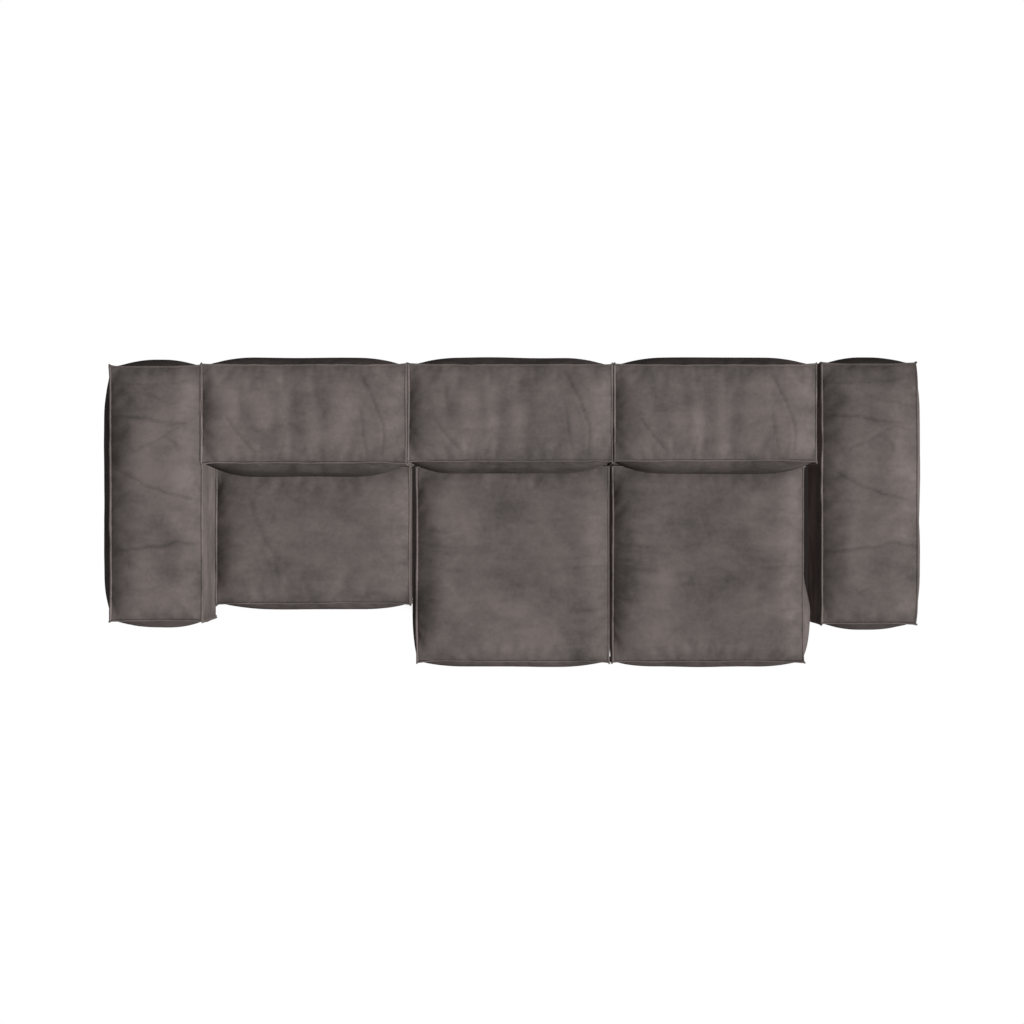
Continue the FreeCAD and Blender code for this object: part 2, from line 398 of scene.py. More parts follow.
# %% Smooth unevenness
def waves(points, seed, count, shortest, longest):
    """A sum of smooth plane waves, about one high, that is the same for the same seed."""
    rng = np.random.default_rng(seed)
    total = np.zeros(len(points))
    for _ in range(count):
        direction = rng.normal(size=3)
        direction /= np.linalg.norm(direction)
        length = rng.uniform(shortest, longest)
        total += np.sin(points @ direction * (2 * math.pi / length) + rng.uniform(0, 2 * math.pi))
    return total / math.sqrt(count)


# %% Inflate the four kinds
sim_frames = 20
slack = 0.016
move_cap = 0.0023
start_share = 0.85
start_ripple = 0.0008
push_each_way = 0.577
side_ripple_share = 0.35
cloth_settings = {
    "quality": 5, "mass": 0.4, "tension_stiffness": 20, "compression_stiffness": 20, "shear_stiffness": 10,
    "bending_stiffness": 2.0, "shrink_min": -slack, "use_pressure": True, "uniform_pressure_force": 4.0,
    "vertex_group_mass": "sewn",
}


def cover_object(name, points, faces):
    mesh = bpy.data.meshes.new(name)
    mesh.from_pydata(points.tolist(), [], faces)
    mesh.update()
    return placed(name, mesh)


def add_cloth(obj, pinned):
    group = obj.vertex_groups.new(name="sewn")
    group.add([int(i) for i in np.flatnonzero(pinned)], 1.0, "REPLACE")
    cloth = obj.modifiers.new("leather", "CLOTH")
    for setting, value in cloth_settings.items():
        setattr(cloth.settings, setting, value)
    cloth.settings.effector_weights.gravity = 0.0
    cloth.collision_settings.use_collision = False
    cloth.point_cache.frame_start = 1
    cloth.point_cache.frame_end = sim_frames


def discard(obj):
    mesh = obj.data
    bpy.data.objects.remove(obj)
    bpy.data.meshes.remove(mesh)


def points_of(mesh):
    flat = np.empty(len(mesh.vertices) * 3)
    mesh.vertices.foreach_get("co", flat)
    return flat.reshape(-1, 3)


inflated = {}
started = time.time()
trial = {}
for number, (kind, (points, faces, on_seam, on_hem)) in enumerate(lattices.items()):
    start = stuffed_form(points, sizes[kind], kind, start_share)
    uneven = waves(points, seed=11 + number, count=14, shortest=0.05, longest=0.16)
    pinned = on_seam | on_hem
    start += np.where(pinned, 0.0, start_ripple * uneven)[:, None] * push_each_way
    trial[kind] = cover_object("trial_" + kind, start, faces)
    add_cloth(trial[kind], pinned)
for step in range(1, sim_frames + 1):
    scene.frame_set(step)
depsgraph = bpy.context.evaluated_depsgraph_get()
for kind, obj in trial.items():
    moved = points_of(obj.evaluated_get(depsgraph).data)
    points = lattices[kind][0]
    base = stuffed_form(points, sizes[kind], kind)
    shift = moved - base
    shift[~panel_mask(points, sizes[kind], "top")] *= side_ripple_share
    length = np.linalg.norm(shift, axis=1, keepdims=True) + 1e-9
    inflated[kind] = base + shift / length * move_cap * np.tanh(length / move_cap)
    print(kind, "moved up to", round(float(length.max()) * 1000, 1), "mm before the cap,",
          "median", round(float(np.median(length)) * 1000, 1))
scene.frame_set(1)
for obj in trial.values():
    discard(obj)
print("inflated in", round(time.time() - started, 1), "s")

# %% [markdown]
# ## One finer lattice
# One subdivision doubles the rows, so that creases of a few millimetres can be real shape. The seams
# are marked as sharp edges, so they stay where they are sewn. Each point remembers its place on the
# plain box.

# %% Subdivide each kind once
def keep_values(mesh, name, values, domain="POINT"):
    """Stores one number for each point or edge of a mesh under a name."""
    mesh.attributes.new(name, "FLOAT", domain).data.foreach_set("value", values.astype(np.float32))


def applied(obj):
    """The mesh of an object with its modifiers applied; the object itself is removed."""
    made = bpy.data.meshes.new_from_object(obj.evaluated_get(bpy.context.evaluated_depsgraph_get()))
    discard(obj)
    return made


def refined(kind):
    points, faces = lattices[kind][:2]
    obj = cover_object("fine_" + kind, inflated[kind], faces)
    mesh = obj.data
    rest = mesh.attributes.new("rest", "FLOAT_VECTOR", "POINT")
    rest.data.foreach_set("vector", points.ravel())
    ends = np.empty(len(mesh.edges) * 2, dtype=np.int32)
    mesh.edges.foreach_get("vertices", ends)
    ends = ends.reshape(-1, 2)
    at_end = (np.abs(points) < 1e-6) | (np.abs(points - sizes[kind]) < 1e-6)
    along_seam = (at_end[ends[:, 0]] & at_end[ends[:, 1]]).sum(1) >= 2
    keep_values(mesh, "crease_edge", along_seam, "EDGE")
    finer = obj.modifiers.new("finer", "SUBSURF")
    finer.levels = 1
    finer.render_levels = 1
    fine = applied(obj)
    flat = np.empty(len(fine.vertices) * 3, dtype=np.float32)
    fine.attributes["rest"].data.foreach_get("vector", flat)
    return fine, flat.reshape(-1, 3).astype(float)


fine_covers = {kind: refined(kind) for kind in sizes}
for kind, (mesh, rest) in fine_covers.items():
    print(kind, len(mesh.vertices), "points", len(mesh.polygons), "squares")

# %% [markdown]
# ## Fit each block to its neighbours
# The same four covers serve all eight places. Where a side stands against a neighbour, its swell is
# pressed back to a few millimetres. The backs swell out above the seats, and the deep seat in the
# middle swells past the front of the short one beside it, which is pressed flat there.

# %% Side fits
def smooth_step(value, start, end):
    t = np.clip((value - start) / (end - start), 0.0, 1.0)
    return t * t * (3.0 - 2.0 * t)


seat_top = boxes["seat_middle"][1][2]
short_front = boxes["seat_left"][0][1]


def fit_between(pressed, free, share):
    return pressed + (free - pressed) * share


def fit_back_front(place):
    """Pressed behind the seat, and rolled out above it."""
    above = smooth_step(place[:, 2], seat_top + 0.012, seat_top + 0.070)
    return fit_between(0.10, 1.25, above)


def fit_lower_front(place):
    """A back that rolls out a little less."""
    return 0.9 * fit_back_front(place)


def fit_middle_left(place):
    """Pressed by the short seat, and free in front of it."""
    past_seat = smooth_step(-place[:, 1], -short_front - 0.14, -short_front - 0.02)
    return fit_between(0.52, 0.82, past_seat)


def fit_right_flank(place):
    """Pressed beside the arm, and swollen towards the front."""
    past_arm = smooth_step(-place[:, 1], 0.18, 0.34)
    return fit_between(0.30, 1.55, past_arm)


free_sides = {
    "arm_left": {"left", "front", "rear"}, "arm_right": {"right", "front", "rear"},
    "back_left": {"front", "rear"}, "back_middle": {"front", "rear"}, "back_right": {"front", "rear"},
    "seat_left": {"front"}, "seat_middle": {"front"}, "seat_right": {"front", "right"},
}
# a side that is not named keeps its full swell
side_fits = {
    "arm_left": {"left": 1.17, "right": 0.05},
    "arm_right": {"left": 0.12, "right": 0.95},
    "back_left": {"left": 0.03, "right": 0.15, "front": fit_back_front},
    "back_middle": {"left": 0.15, "right": 0.15, "front": fit_lower_front},
    "back_right": {"left": 0.15, "right": 0.25, "front": fit_lower_front},
    "seat_left": {"left": 0.65, "right": -0.05, "rear": 0.17},
    "seat_middle": {"left": fit_middle_left, "right": 0.27, "rear": 0.17},
    "seat_right": {"left": 0.27, "right": fit_right_flank, "rear": 0.17},
}
sides = ("left", "right", "front", "rear")
side_unevenness = 0.0011
upright_stretch = (1.0, 1.0, 0.35)
uneven_above, uneven_below = 0.5, 0.9


def fitted(block):
    """Places of the points of a block's cover, on the plain seam box and as stuffed."""
    kind = block_kinds[block]
    mesh, rest = fine_covers[kind]
    low, high = boxes[block]
    size = high - low
    shift = points_of(mesh) - rest
    place = rest + low
    for side in sides:
        mask = panel_mask(rest, size, side)
        fit = side_fits[block].get(side, 1.0)
        share = fit(place[mask]) if callable(fit) else fit
        shift[mask] *= np.reshape(share, (-1, 1))
        if side in free_sides[block]:
            lower = 1.0 - place[mask][:, 2] / high[2]
            uneven = waves(place[mask] * upright_stretch, seed=80, count=14, shortest=0.10, longest=0.34)
            uneven *= side_unevenness * (uneven_above + uneven_below * lower)
            inside = panel_share(rest[mask], size, side) ** 0.5
            shift[mask] += np.outer(uneven * inside, panel_normal(side))
    return place, place + shift


print("pressed and free sides of", len(side_fits), "blocks")

# %% [markdown]
# ## Seams that wander
# A sewn edge is never quite straight. The thread draws the middle of a top seam in a few millimetres,
# so the corners stand out like small ears; only the outer seam of the right arm is pushed out. Soft
# neighbours push each other's edges aside: the left arm gives way beside the backs, and several blocks
# stand a little off the even spacing of the frame.

# %% Drawn and pushed seams
seam_draw, pressed_draw = 0.0025, 0.0005
seam_draws = {("arm_right", "right"): -0.007}
draw_depth, draw_width, corner_hold = 0.06, 0.05, 0.035
wander = (0.0008, 0.0008, 0.0010)
hem_hold = 0.06
back_front = boxes["back_left"][0][1]


def beside_backs(place):
    return smooth_step(place[:, 1], back_front - 0.02, back_front + 0.02)


edge_pushes = {
    "arm_left": {"left": 0.005, "right": -0.006, "front": 0.008, "rear": -0.005},
    "arm_right": {"rear": 0.003},
    "back_left": {"left": -0.003},
    "back_middle": {"front": 0.006},
    "back_right": {"right": -0.005, "front": 0.007},
    "seat_left": {"left": -0.005, "right": -0.006},
    "seat_middle": {"left": 0.005},
    "seat_right": {"right": -0.008},
}
push_places = {("arm_left", "right"): beside_backs}


def seam_shift(block, place, seed):
    """How far the points of a block move because its seams are drawn in, pushed aside and uneven."""
    low, high = boxes[block]
    move = np.zeros_like(place)
    near_top = np.exp(-(high[2] - place[:, 2]) / draw_depth)
    for side in sides:
        axis, end = panel_axes[side]
        along = 1 - axis
        corner = np.minimum(place[:, along] - low[along], high[along] - place[:, along])
        inward = np.abs(place[:, axis] - (high[axis] if end else low[axis]))
        off_corner = 1.0 - np.exp(-np.maximum(corner, 0.0) / corner_hold)
        drawn = off_corner * np.exp(-inward / draw_width) * near_top
        amount = seam_draws.get((block, side), seam_draw if side in free_sides[block] else pressed_draw)
        move[:, axis] -= panel_normal(side)[axis] * amount * drawn
    for side, amount in edge_pushes.get(block, {}).items():
        where = push_places.get((block, side))
        axis, end = panel_axes[side]
        across = (place[:, axis] - low[axis]) / (high[axis] - low[axis])
        across = across if end else 1.0 - across
        move[:, axis] += amount * across ** 2 * (where(place) if where else 1.0)
    above_hem = smooth_step(place[:, 2], low[2], low[2] + hem_hold)
    for axis in range(3):
        sway = waves(place, seed=seed + axis, count=10, shortest=0.16, longest=0.5)
        move[:, axis] += wander[axis] * above_hem * sway
    return move


pushes = sum(len(rows) for rows in edge_pushes.values())
print("seams drawn in by", seam_draw * 1000, "mm, pushed sides:", pushes)

# %% [markdown]
# ## Creases of use
# Soft leather keeps the folds of use. The arms have thin creases across them, the backs soft upright
# folds and a few fine lines, and the seats a shallow dip and short wrinkles that start at the seams.
# Each crease is a line of points on the top panel, in shares of its width and depth. It is pressed into
# the mesh as a narrow valley with soft lips, and its strength is kept as an attribute, which paints
# shade into the colour of the crease.

# %% Crease lines on the top panels
# each row: relative depth, half width in mm, points in thousandths from the front left corner
crease_lines = {"arm": [
    (0.8, 5, [(10, 932), (490, 928), (920, 945)]),
    (1.8, 6, [(20, 800), (220, 800), (400, 798), (580, 782), (920, 766)]),
    (1.1, 5, [(360, 904), (630, 859), (950, 836)]),
    (0.9, 5, [(480, 793), (700, 764), (970, 742)]),
    (1.0, 5, [(220, 648), (400, 689), (610, 722), (740, 757), (920, 766)]),
    (0.9, 7, [(610, 722), (740, 693), (780, 660)]),
    (1.5, 5, [(30, 595), (340, 547), (630, 503), (830, 486), (990, 466)]),
    (0.7, 6, [(40, 470), (250, 472), (460, 468)]),
    (1.5, 6, [(30, 278), (250, 282), (490, 290), (740, 312), (990, 300)]),
    (0.6, 6, [(100, 130), (350, 120), (600, 140)]),
], "back": [
    (1.3, 5, [(775, 930), (790, 874), (836, 665), (880, 395), (891, 246), (887, 20)]),
    (0.9, 5, [(770, 600), (779, 485), (793, 246), (818, 36)]),
    (1.2, 5, [(120, 500), (130, 470), (170, 335), (229, 170), (262, 80)]),
    (0.7, 5, [(410, 280), (395, 180), (374, 50)]),
    (0.6, 5, [(940, 420), (950, 300), (955, 180)]),
    (0.6, 7, [(190, 800), (185, 620), (190, 500)]),
], "deep_seat": [
    (1.0, 6, [(0, 690), (70, 675), (170, 655)]),
    (1.1, 6, [(0, 615), (90, 600), (200, 588)]),
    (0.8, 5, [(10, 530), (80, 518), (150, 500)]),
    (0.7, 6, [(50, 575), (200, 560), (300, 552)]),
    (0.8, 6, [(40, 490), (140, 478), (240, 468)]),
    (0.9, 6, [(0, 330), (80, 318), (150, 315)]),
    (0.8, 6, [(740, 490), (840, 485), (940, 495), (1000, 500)]),
    (0.8, 6, [(800, 270), (900, 268), (1000, 275)]),
    (0.6, 8, [(420, 770), (600, 725), (860, 730)]),
    (0.7, 6, [(500, 120), (530, 70), (540, 10)]),
    (0.7, 6, [(430, 100), (430, 50), (420, 10)]),
], "short_seat": [
    (0.9, 9, [(165, 800), (200, 650), (260, 450), (330, 280)]),
    (0.8, 8, [(320, 840), (360, 800), (410, 750)]),
    (0.9, 6, [(930, 575), (965, 560), (1000, 550)]),
    (0.9, 6, [(900, 430), (950, 420), (1000, 405)]),
    (0.9, 6, [(920, 300), (960, 290), (1000, 285)]),
    (0.7, 6, [(290, 340), (310, 240), (335, 130)]),
    (0.7, 8, [(380, 440), (420, 390), (470, 350)]),
    (0.7, 6, [(150, 100), (160, 50), (160, 10)]),
    (0.6, 6, [(640, 100), (660, 50), (660, 10)]),
]}
# each row: height in mm, middle, half widths along width and depth in shares
soft_folds = {
    "arm": [(-1.6, (0.5, 0.86), (0.6, 0.05)), (1.2, (0.5, 0.62), (0.5, 0.06)),
            (-1.2, (0.4, 0.40), (0.5, 0.05)), (1.0, (0.6, 0.20), (0.4, 0.07))],
    "back": [(3.0, (0.385, 0.52), (0.030, 0.30)), (-2.6, (0.44, 0.50), (0.030, 0.32)),
             (2.6, (0.51, 0.34), (0.030, 0.28)), (-2.2, (0.585, 0.50), (0.032, 0.36)),
             (-2.0, (0.19, 0.60), (0.035, 0.26)), (1.8, (0.66, 0.5), (0.05, 0.4)),
             (1.5, (0.27, 0.5), (0.04, 0.3))],
    "deep_seat": [(-4.0, (0.41, 0.76), (0.13, 0.11)), (-2.5, (0.50, 0.57), (0.15, 0.10)),
                  (-2.0, (0.42, 0.45), (0.12, 0.09)), (1.5, (0.72, 0.40), (0.14, 0.12)),
                  (1.5, (0.25, 0.25), (0.16, 0.10))],
    "short_seat": [(-3.0, (0.60, 0.55), (0.20, 0.20)), (-2.0, (0.36, 0.80), (0.10, 0.09)),
                   (1.6, (0.20, 0.60), (0.04, 0.24)), (1.2, (0.42, 0.40), (0.05, 0.08)),
                   (1.0, (0.80, 0.30), (0.12, 0.14))],
}


def line_distance(points, line):
    """Distance of flat points to a broken line, and the share of its length where the nearest place is."""
    best = np.full(len(points), 1e9)
    share = np.zeros(len(points))
    lengths = np.linalg.norm(np.diff(line, axis=0), axis=1)
    passed = np.concatenate([[0.0], np.cumsum(lengths)])
    for i in range(len(line) - 1):
        step = line[i + 1] - line[i]
        t = np.clip(((points - line[i]) @ step) / (step @ step), 0.0, 1.0)
        distance = np.linalg.norm(points - line[i] - t[:, None] * step, axis=1)
        nearer = distance < best
        best[nearer] = distance[nearer]
        share[nearer] = (passed[i] + t[nearer] * lengths[i]) / passed[-1]
    return best, share


crease_depth = 0.0006
lip_share, lip_place, lip_width = 0.40, 2.2, 1.3
line_fade, faintest = 0.12, 0.30
line_wobble = 0.003
full_fold, full_crease = 0.010, 1.5


def crease_heights(kind, rest, size):
    """Height change of the top panel in metres, and how deep in a crease each point lies, from 0 to 1."""
    metres = rest[:, :2]
    flat = metres / size[:2]
    height = np.zeros(len(rest))
    depth_share = np.zeros(len(rest))
    for millimetres, middle, half in soft_folds[kind]:
        away = ((flat - np.array(middle)) / np.array(half)) ** 2
        fold = 0.001 * millimetres * np.exp(-away.sum(1))
        height += fold
        depth_share = np.maximum(depth_share, -fold / full_fold)
    sway = [waves(rest, seed=seed, count=8, shortest=0.06, longest=0.2) for seed in (31, 32)]
    wobbled = metres + line_wobble * np.stack(sway, axis=1)
    for depth, width, line in crease_lines[kind]:
        distance, share = line_distance(wobbled, np.array(line) / 1000 * size[:2])
        fade = smooth_step(share, 0.0, line_fade) * smooth_step(1.0 - share, 0.0, line_fade)
        fade = np.maximum(fade, faintest)
        w = 0.001 * width
        valley = np.exp(-((distance / w) ** 2))
        lips = np.exp(-(((distance - lip_place * w) / (lip_width * w)) ** 2))
        height += crease_depth * depth * fade * (lip_share * lips - valley)
        depth_share = np.maximum(depth_share, valley * fade * min(1.0, depth / full_crease))
    return height, depth_share


print("creases:", {kind: len(lines) for kind, lines in crease_lines.items()})

# %% Painted shade along the seams
broad_share, broad_reach = 0.6, 0.035
narrow_share, narrow_reach = 0.4, 0.012


def seam_nearness(rest, size):
    """Painted shade: one at a seam, fading to nothing a few fingers away from it."""
    to_edge = np.sort(np.minimum(np.abs(rest), np.abs(size - rest)), axis=1)[:, 1]
    broad = broad_share * np.exp(-((to_edge / broad_reach) ** 2))
    return broad + narrow_share * np.exp(-to_edge / narrow_reach)


print("seam shade fades over", broad_reach * 1000, "mm")

# %% Covers in their eight places
# painted light and shade on whole panels: above zero paints shade, below zero paints light
painted_panel_shading = {"arm_left": {"front": -0.4}, "seat_left": {"front": -0.6}, "seat_middle": {"front": -0.6},
                "seat_right": {"front": -0.6}}
# painted shade in the fold of a back's front above the seat, fading out upwards
painted_fold_shade = {"back_left": 2.0, "back_middle": 1.2, "back_right": 1.2}
fold_low, fold_high = seat_top + 0.10, seat_top + 0.26
crease_start = 1.5


def smooth(mesh):
    mesh.polygons.foreach_set("use_smooth", np.ones(len(mesh.polygons), dtype=bool))


covers = {}
rest_places = {}
for number, (block, kind) in enumerate(block_kinds.items()):
    place, stuffed = fitted(block)
    low, high = boxes[block]
    rest, size = place - low, high - low
    top = panel_mask(rest, size, "top")
    height, depth_share = crease_heights(kind, rest[top], size)
    inside = panel_share(rest[top], size, "top")
    stuffed[top, 2] += height * np.clip(inside * crease_start, 0.0, 1.0)
    stuffed += seam_shift(block, place, 50 + 10 * number)
    # how deep each point lies in a crease or dip, kept to paint shade into the colour
    painted_crease_shade = np.zeros(len(place))
    painted_crease_shade[top] = depth_share
    # painted shade near the seams, on whole panels and in the fold above the seats
    painted_shade = seam_nearness(rest, size)
    for panel, amount in painted_panel_shading.get(block, {}).items():
        painted_shade[panel_mask(rest, size, panel)] += amount
    if block in painted_fold_shade:
        front = panel_mask(rest, size, "front")
        above = smooth_step(place[front][:, 2], fold_low, fold_high)
        painted_shade[front] += painted_fold_shade[block] * (1.0 - above)
    mesh = fine_covers[kind][0].copy()
    mesh.name = block + "_soft_cover"
    mesh.vertices.foreach_set("co", stuffed.ravel())
    mesh.attributes.remove(mesh.attributes["rest"])
    keep_values(mesh, "crease", painted_crease_shade)
    keep_values(mesh, "seam_shade", painted_shade)
    smooth(mesh)
    mesh.update()
    covers[block] = placed(mesh.name, mesh)
    rest_places[block] = (rest, stuffed)
print("covers", len(covers), "with", sum(len(o.data.polygons) for o in covers.values()), "squares")

# %% [markdown]
# ## Raised flange seams
# Where two panels meet, their edges are turned outwards and sewn together, so that a thin double blade
# of leather stands along the seam and ends in a small ear at each corner. It could be a bevel on the
# cover, but a separate blade swept along the seam keeps its two plies and its lean. Along the left and
# the rear of a top it leans out, along the right it is low and leans in a little, and between two
# pressed sides it is left out.

# %% Blades along the seams
blade_height = 0.0090
low_blades = {"arm": 0.6, "back": 0.6, "seat": 0.35}
# each pair: millimetres to the side and outwards
blade_profile = [(-2.8, -3.0), (-2.7, 5.6), (-2.1, 7.5), (-1.1, 8.3), (0.0, 7.2),
                 (1.1, 8.3), (2.1, 7.5), (2.7, 5.6), (2.8, -3.0)]
profile_top = 0.0083
thread_side, thread_rise = 2.75, 0.45
ear_reach, ear_growth, ear_fade = 0.002, 0.08, 0.012
blade_tilt, blade_waver = 0.16, 0.05
lean_weights = {"top": 1.0, "base": 0.5, "top_left": 0.35, "top_right": -0.14,
                "rear": 0.40, "free": 0.25, "pressed": 0.10}
around = ("front", "right", "rear", "left")
seam_pairs = [("top", side) for side in around]
seam_pairs += [(end, side) for end in ("front", "rear") for side in ("left", "right")]
seam_pairs += [("base", side) for side in around]
panel_axes["base"] = (2, 0)


def seam_path(block, pair):
    """Points of the seam between two panels, in order."""
    rest, stuffed = rest_places[block]
    size = boxes[block][1] - boxes[block][0]
    on = panel_mask(rest, size, pair[0]) & panel_mask(rest, size, pair[1])
    axes = {panel_axes[pair[0]][0], panel_axes[pair[1]][0]}
    running = ({0, 1, 2} - axes).pop()
    order = np.argsort(rest[on][:, running])
    path = stuffed[on][order]
    keep = np.unique(np.r_[np.arange(0, len(path), 2), len(path) - 1])
    return path[keep]


def lean_kind(block, pair, panel):
    if panel in ("top", "base"):
        return panel
    if panel in ("left", "right") and "top" in pair:
        return "top_" + panel
    if panel not in free_sides[block]:
        return "pressed"
    return "rear" if panel == "rear" else "free"


def blade_lean(block, pair):
    """Direction of a blade, or nothing where both of its panels are pressed."""
    kinds = [lean_kind(block, pair, panel) for panel in pair]
    pressed = [kind == "pressed" for kind in kinds]
    if all(pressed) or ("base" in pair and any(pressed)):
        return None
    lean = sum(lean_weights[kind] * panel_normal(panel) for kind, panel in zip(kinds, pair))
    return lean / np.linalg.norm(lean)


def unit(rows):
    return rows / np.linalg.norm(rows, axis=1, keepdims=True)


def blade(path, lean, height, seed):
    """Points and faces of one blade, and two lines along its sides for the stitches."""
    ends = unit(np.stack([path[0] - path[1], path[-1] - path[-2]]))
    path = np.concatenate([[path[0] + ear_reach * ends[0]], path, [path[-1] + ear_reach * ends[1]]])
    side = unit(np.cross(unit(np.gradient(path, axis=0)), lean))
    tilt = blade_tilt * waves(path, seed=seed, count=8, shortest=0.05, longest=0.22)[:, None]
    up = unit(lean + tilt * side)
    run = np.concatenate([[0.0], np.cumsum(np.linalg.norm(np.diff(path, axis=0), axis=1))])
    corner = np.minimum(run, run[-1] - run)
    waver = blade_waver * waves(path, seed=seed + 1, count=8, shortest=0.04, longest=0.15)
    scale = (1.0 + ear_growth * np.exp(-corner / ear_fade) + waver) * height / profile_top
    points = []
    for across, out in blade_profile:
        lift = np.where(out > 0, scale, 1.0)[:, None]
        points.append(path + 0.001 * across * side + 0.001 * out * lift * up)
    points = np.stack(points, axis=1)
    rows, columns = points.shape[:2]
    faces = []
    for i in range(rows - 1):
        for j in range(columns - 1):
            a = i * columns + j
            faces.append((a, a + 1, a + columns + 1, a + columns))
    faces.append(tuple(range(columns - 1, -1, -1)))
    faces.append(tuple(range((rows - 1) * columns, rows * columns)))
    threads = [path + 0.001 * across * side + thread_rise * height * up
               for across in (-thread_side, thread_side)]
    return points.reshape(-1, 3), faces, threads


flanges = {}
thread_paths = {}
for number, block in enumerate(block_kinds):
    points, faces, threads = [], [], []
    for order, pair in enumerate(seam_pairs):
        lean = blade_lean(block, pair)
        if lean is None:
            continue
        lowered = low_blades[block.split("_")[0]] if pair == ("top", "right") else 1.0
        height = blade_height * lowered
        more, rows, lines = blade(seam_path(block, pair), lean, height, 300 + 20 * number + order)
        start = sum(len(p) for p in points)
        points.append(more)
        faces += [tuple(start + i for i in face) for face in rows]
        threads += lines
    flanges[block] = cover_object(block + "_seam_flange", np.concatenate(points), faces)
    smooth(flanges[block].data)
    thread_paths[block] = threads
print("flanges", len(flanges), "seams", sum(len(t) for t in thread_paths.values()) // 2)

# %% [markdown]
# ## Brushed leather
# The cover is matte brushed leather in warm grey. Its colour drifts in soft clouds where the nap lies
# one way or the other, and close up it has a fine, slightly pebbled nap. All of this comes from noise at
# five sizes on Object coordinates, in metres, so the pattern has its real scale on every block. Shade is
# painted into the colour too: in creases, beside the seams and in the fold above the seats. The nap
# throws back no gloss.

# %% Material helpers
Finish = namedtuple("Finish", "material tree shader place")


def new_finish(name, roughness, specular=0.3, metallic=0.0):
    """A plain material with its node tree, its shader and the Object coordinates for its patterns."""
    made = bpy.data.materials.new(name)
    made.use_nodes = True
    tree = made.node_tree
    shader = tree.nodes["Principled BSDF"].inputs
    shader["Roughness"].default_value = roughness
    shader["Specular IOR Level"].default_value = specular
    shader["Metallic"].default_value = metallic
    return Finish(made, tree, shader, add_node(tree, "ShaderNodeTexCoord").outputs["Object"])


def stretched(f, scale, turn=(0.0, 0.0, 0.0)):
    """Object coordinates stretched and turned, for patterns with a direction."""
    mapping = add_node(f.tree, "ShaderNodeMapping", Scale=scale, Rotation=turn)
    link(f.tree, f.place, mapping.inputs["Vector"])
    return mapping.outputs[0]


def pattern(f, kind, output, place=None, **inputs):
    """A texture node on plain or stretched coordinates; returns one of its outputs."""
    made = add_node(f.tree, "ShaderNodeTex" + kind, **inputs)
    link(f.tree, place or f.place, made.inputs["Vector"])
    return made.outputs[output]


def noise(f, scale=1.0, place=None, detail=4.0, roughness=0.55, distortion=0.0):
    return pattern(f, "Noise", 0, place, Scale=scale, Detail=detail, Roughness=roughness,
                   Distortion=distortion)


def weighted(f, *pairs):
    """Sum of sockets times numbers."""
    total = None
    for socket, weight in pairs:
        term = combine(f.tree, "MULTIPLY", socket, weight)
        total = term if total is None else combine(f.tree, "ADD", total, term)
    return total


def coloured(f, tone, *stops):
    link(f.tree, colour_between(f.tree, tone, stops), f.shader["Base Color"])


def bumped(f, height, strength, distance):
    bump = add_node(f.tree, "ShaderNodeBump", Strength=strength, Distance=distance)
    link(f.tree, height, bump.inputs["Height"])
    link(f.tree, bump.outputs[0], f.shader["Normal"])


def attribute(f, name):
    made = f.tree.nodes.new("ShaderNodeAttribute")
    made.attribute_name = name
    return made.outputs["Fac"]


print("helpers for materials are ready")

# %% Brushed leather
# the crease and seam_shade attributes paint shade into the tone
crease_shade_tone, seam_shade_tone, tone_offset = -0.12, -0.10, -0.175


def brushed_leather(name, dark, middle, light):
    f = new_finish(name, 0.80, specular=0.0)
    clouds = noise(f, 3.6, distortion=0.6)
    patches = noise(f, 12.0, distortion=0.3)
    strokes = noise(f, place=stretched(f, (9.0, 34.0, 20.0), (0.0, 0.0, 0.35)), roughness=0.6)
    mottle = noise(f, 70.0, roughness=0.6)
    nap = noise(f, 620.0, detail=2.0, roughness=0.5)
    tone = weighted(f, (clouds, 0.54), (patches, 0.32), (strokes, 0.17), (mottle, 0.18), (nap, 0.14),
                    (attribute(f, "crease"), crease_shade_tone), (attribute(f, "seam_shade"), seam_shade_tone))
    tone = combine(f.tree, "ADD", tone, tone_offset)
    coloured(f, tone, (0.30, dark), (0.50, middle), (0.62, light))
    rough = add_node(f.tree, "ShaderNodeMapRange", To_Min=0.72, To_Max=0.90)
    link(f.tree, patches, rough.inputs[0])
    link(f.tree, rough.outputs[0], f.shader["Roughness"])
    pebble = pattern(f, "Voronoi", "Distance", Scale=420.0)
    ripple = noise(f, place=stretched(f, (30.0, 60.0, 40.0), (0.0, 0.0, 0.5)), roughness=0.6)
    height = weighted(f, (nap, 0.35), (pebble, 0.25), (mottle, 0.6), (ripple, 1.0))
    bumped(f, height, 0.35, 0.0012)
    return f.material


leather_colours = [(0.084, 0.075, 0.071), (0.150, 0.128, 0.122), (0.190, 0.162, 0.155)]
# painted light and shade: each part gets a brighter or dimmer copy of the same leather
leather_light_and_shade = {"arm": 0.96, "back": 1.05, "seat": 0.95}
leathers = {}
for part, tone in leather_light_and_shade.items():
    shades = [tuple(tone * c for c in colour) for colour in leather_colours]
    leathers[part] = brushed_leather("brushed_leather_" + part, *shades)
print("leather ready for", list(leathers))

# %% [markdown]
# ## Stitches
# A thread runs along both sides of every flange. A stitch is a few millimetres long, and there are
# thousands of them, so Geometry Nodes sets one small bead of thread on every step of the seam lines.
# The lines are only edges; the nodes turn them into curves, take evenly spaced points and lay a
# stretched bead along each.

# %% Thread
thread = new_finish("seam_thread", 0.65, specular=0.05)
twist = noise(thread, place=stretched(thread, (900.0, 900.0, 900.0), (0.6, 0.4, 0.2)), detail=2.0)
coloured(thread, twist, (0.3, (0.100, 0.086, 0.082)), (0.7, (0.160, 0.138, 0.130)))
bumped(thread, twist, 0.4, 0.0003)

bead_sides, bead_rings = 5, 3
stitch_sizes = {"Step": 0.0082, "Half length": 0.0029, "Half thickness": 0.00055}


